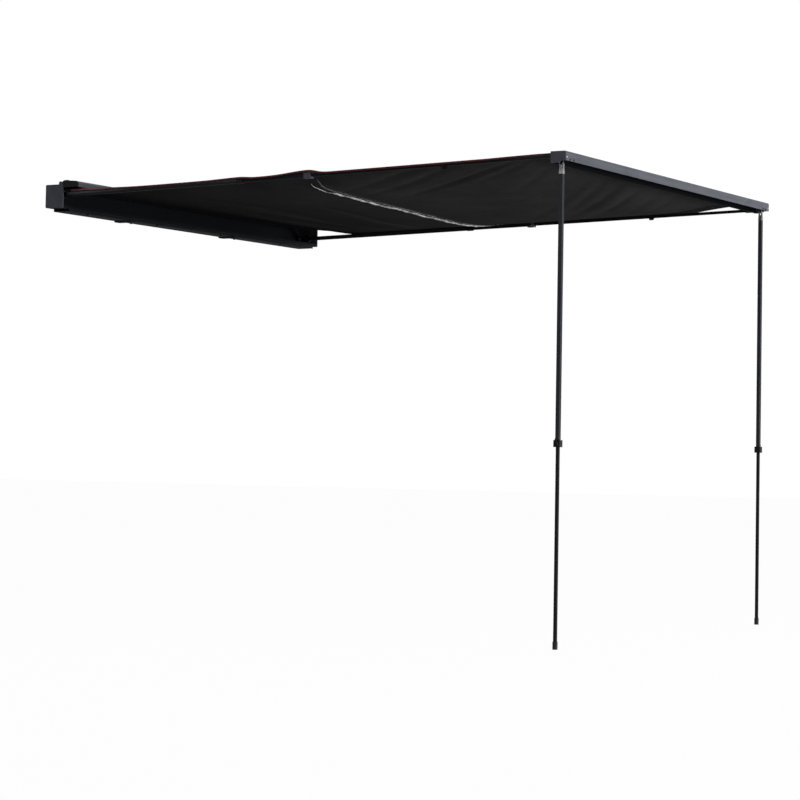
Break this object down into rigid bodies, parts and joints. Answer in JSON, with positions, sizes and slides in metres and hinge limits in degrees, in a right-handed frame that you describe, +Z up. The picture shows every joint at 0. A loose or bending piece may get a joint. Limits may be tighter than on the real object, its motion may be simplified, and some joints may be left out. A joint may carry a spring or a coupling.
{
  "type": "vehicle side awning",
  "caption": "Side awning for a vehicle's roof bars: open hard case with hinged lid, telescopic arms, lead rail with folding telescopic legs, sagging dark canopy.",
  "frame": {"origin": "middle of the flat underside of the case's base track", "axes": "+X along the case, -Y out to the lead rail, +Z up"},
  "size_m": [2.05, 2.517, 1.9015],
  "materials": {
    "black_aluminium": "black anodised, satin",
    "grey_aluminium": "grey anodised, satin",
    "dark_plastic": "fine moulded grain",
    "black_plastic": "fine moulded grain",
    "cast_metal": "cast, satin",
    "steel": "zinc plated",
    "black_steel": "black zinc",
    "rubber": "matt",
    "canopy_cloth": "coated woven cloth",
    "webbing": "woven band"
  },
  "bodies": {
    "case": {"base_track": "black_aluminium", "case_channel": "black_aluminium", "end_cap_near": "dark_plastic", "end_cap_far": "dark_plastic", "bracket_rear": "black_aluminium", "bracket_front": "black_aluminium", "bracket_bolt_rear": "steel", "bracket_bolt_front": "steel", "base_bolt_1": "steel", "base_bolt_2": "steel", "base_bolt_3": "steel", "base_bolt_4": "steel", "shoulder_near": "black_aluminium", "shoulder_far": "black_aluminium", "pivot_bolt_near": "black_steel", "pivot_bolt_far": "black_steel", "canopy": "canopy_cloth", "cross_band": "webbing"},
    "lid": {"lid": "grey_aluminium", "lid_cap_near": "black_plastic", "lid_cap_far": "black_plastic"},
    "rail": {"lead_rail": "grey_aluminium", "rail_cap_near": "dark_plastic", "rail_cap_far": "dark_plastic", "arm_socket_near": "black_plastic", "arm_socket_far": "black_plastic", "leg_bracket_near": "black_plastic", "leg_bracket_far": "black_plastic", "leg_pin_near": "steel", "leg_pin_far": "steel"},
    "near_arm_outer": {"arm_root_near": "black_aluminium", "arm_outer_near": "grey_aluminium", "arm_collar_first_near": "black_plastic"},
    "near_arm_mid": {"arm_mid_near": "black_aluminium", "arm_collar_second_near": "dark_plastic"},
    "near_arm_inner": {"arm_inner_near": "black_aluminium", "arm_tip_near": "black_plastic"},
    "near_first_lever": {"arm_lever_first_near": "black_plastic"},
    "near_second_lever": {"arm_lever_second_near": "black_plastic"},
    "near_leg": {"leg_fork_near": "cast_metal", "leg_upper_near": "black_aluminium", "leg_clamp_near": "black_plastic"},
    "near_leg_lower": {"leg_lower_near": "black_aluminium", "leg_foot_near": "rubber"},
    "near_leg_lever": {"leg_lever_near": "black_plastic"},
    "far_arm_outer": {"arm_root_far": "black_aluminium", "arm_outer_far": "grey_aluminium", "arm_collar_first_far": "black_plastic"},
    "far_arm_mid": {"arm_mid_far": "black_aluminium", "arm_collar_second_far": "dark_plastic"},
    "far_arm_inner": {"arm_inner_far": "black_aluminium", "arm_tip_far": "black_plastic"},
    "far_first_lever": {"arm_lever_first_far": "black_plastic"},
    "far_second_lever": {"arm_lever_second_far": "black_plastic"},
    "far_leg": {"leg_fork_far": "cast_metal", "leg_upper_far": "black_aluminium", "leg_clamp_far": "black_plastic"},
    "far_leg_lower": {"leg_lower_far": "black_aluminium", "leg_foot_far": "rubber"},
    "far_leg_lever": {"leg_lever_far": "black_plastic"}
  },
  "joints": [
    {"name": "lid_hinge", "type": "hinge", "parent": "case", "child": "lid", "pos_m": [0, -0.026, 0.118], "axis": [-1, 0, 0], "range_deg": [0, 25]},
    {"name": "rail_slide", "type": "slide", "parent": "case", "child": "rail", "axis": [0, 0.9997, -0.0236], "range_m": [0, 0.84], "deforming": ["canopy", "cross_band"]},
    {"name": "near_arm_swing", "type": "hinge", "parent": "case", "child": "near_arm_outer", "pos_m": [-0.985, -0.014, 0.0713], "axis": [0, 0.0236, 0.9997], "range_deg": [0, 86]},
    {"name": "near_mid_slide", "type": "slide", "parent": "near_arm_outer", "child": "near_arm_mid", "axis": [0, 0.9997, -0.0236], "range_m": [0, 0.28]},
    {"name": "near_inner_slide", "type": "slide", "parent": "near_arm_mid", "child": "near_arm_inner", "axis": [0, 0.9997, -0.0236], "range_m": [0, 0.56]},
    {"name": "near_first_lever_turn", "type": "hinge", "parent": "near_arm_outer", "child": "near_first_lever", "pos_m": [-0.97, -0.94274, 0.09319], "axis": [0, -0.0236, -0.9997], "range_deg": [0, 60]},
    {"name": "near_second_lever_turn", "type": "hinge", "parent": "near_arm_mid", "child": "near_second_lever", "pos_m": [-0.968, -1.27965, 0.10113], "axis": [0, -0.0236, -0.9997], "range_deg": [0, 60]},
    {"name": "near_leg_fold", "type": "hinge", "parent": "rail", "child": "near_leg", "pos_m": [-0.972, -2.421, 0.102], "axis": [0, -1, 0], "range_deg": [0, 90]},
    {"name": "near_leg_slide", "type": "slide", "parent": "near_leg", "child": "near_leg_lower", "axis": [0, 0, 1], "range_m": [0, 0.7]},
    {"name": "near_leg_lever_turn", "type": "hinge", "parent": "near_leg", "child": "near_leg_lever", "pos_m": [-0.99, -2.421, -0.9785], "axis": [0, -1, 0], "range_deg": [0, 60]},
    {"name": "far_arm_swing", "type": "hinge", "parent": "case", "child": "far_arm_outer", "pos_m": [0.985, -0.014, 0.0503], "axis": [0, -0.0236, -0.9997], "range_deg": [0, 82]},
    {"name": "far_mid_slide", "type": "slide", "parent": "far_arm_outer", "child": "far_arm_mid", "axis": [0, 0.9997, -0.0236], "range_m": [0, 0.28]},
    {"name": "far_inner_slide", "type": "slide", "parent": "far_arm_mid", "child": "far_arm_inner", "axis": [0, 0.9997, -0.0236], "range_m": [0, 0.56]},
    {"name": "far_first_lever_turn", "type": "hinge", "parent": "far_arm_outer", "child": "far_first_lever", "pos_m": [0.97, -0.94274, 0.07219], "axis": [0, 0.0236, 0.9997], "range_deg": [0, 60]},
    {"name": "far_second_lever_turn", "type": "hinge", "parent": "far_arm_mid", "child": "far_second_lever", "pos_m": [0.968, -1.27965, 0.08013], "axis": [0, 0.0236, 0.9997], "range_deg": [0, 60]},
    {"name": "far_leg_fold", "type": "hinge", "parent": "rail", "child": "far_leg", "pos_m": [0.972, -2.446, 0.102], "axis": [0, 1, 0], "range_deg": [0, 90]},
    {"name": "far_leg_slide", "type": "slide", "parent": "far_leg", "child": "far_leg_lower", "axis": [0, 0, 1], "range_m": [0, 0.7]},
    {"name": "far_leg_lever_turn", "type": "hinge", "parent": "far_leg", "child": "far_leg_lever", "pos_m": [0.99, -2.446, -0.9785], "axis": [0, 1, 0], "range_deg": [0, 60]}
  ],
  "couplings": [
    {"joint": "near_mid_slide", "follows": "rail_slide", "ratio": 0.33333},
    {"joint": "near_inner_slide", "follows": "rail_slide", "ratio": 0.66667},
    {"joint": "far_mid_slide", "follows": "rail_slide", "ratio": 0.33333},
    {"joint": "far_inner_slide", "follows": "rail_slide", "ratio": 0.66667}
  ]
}
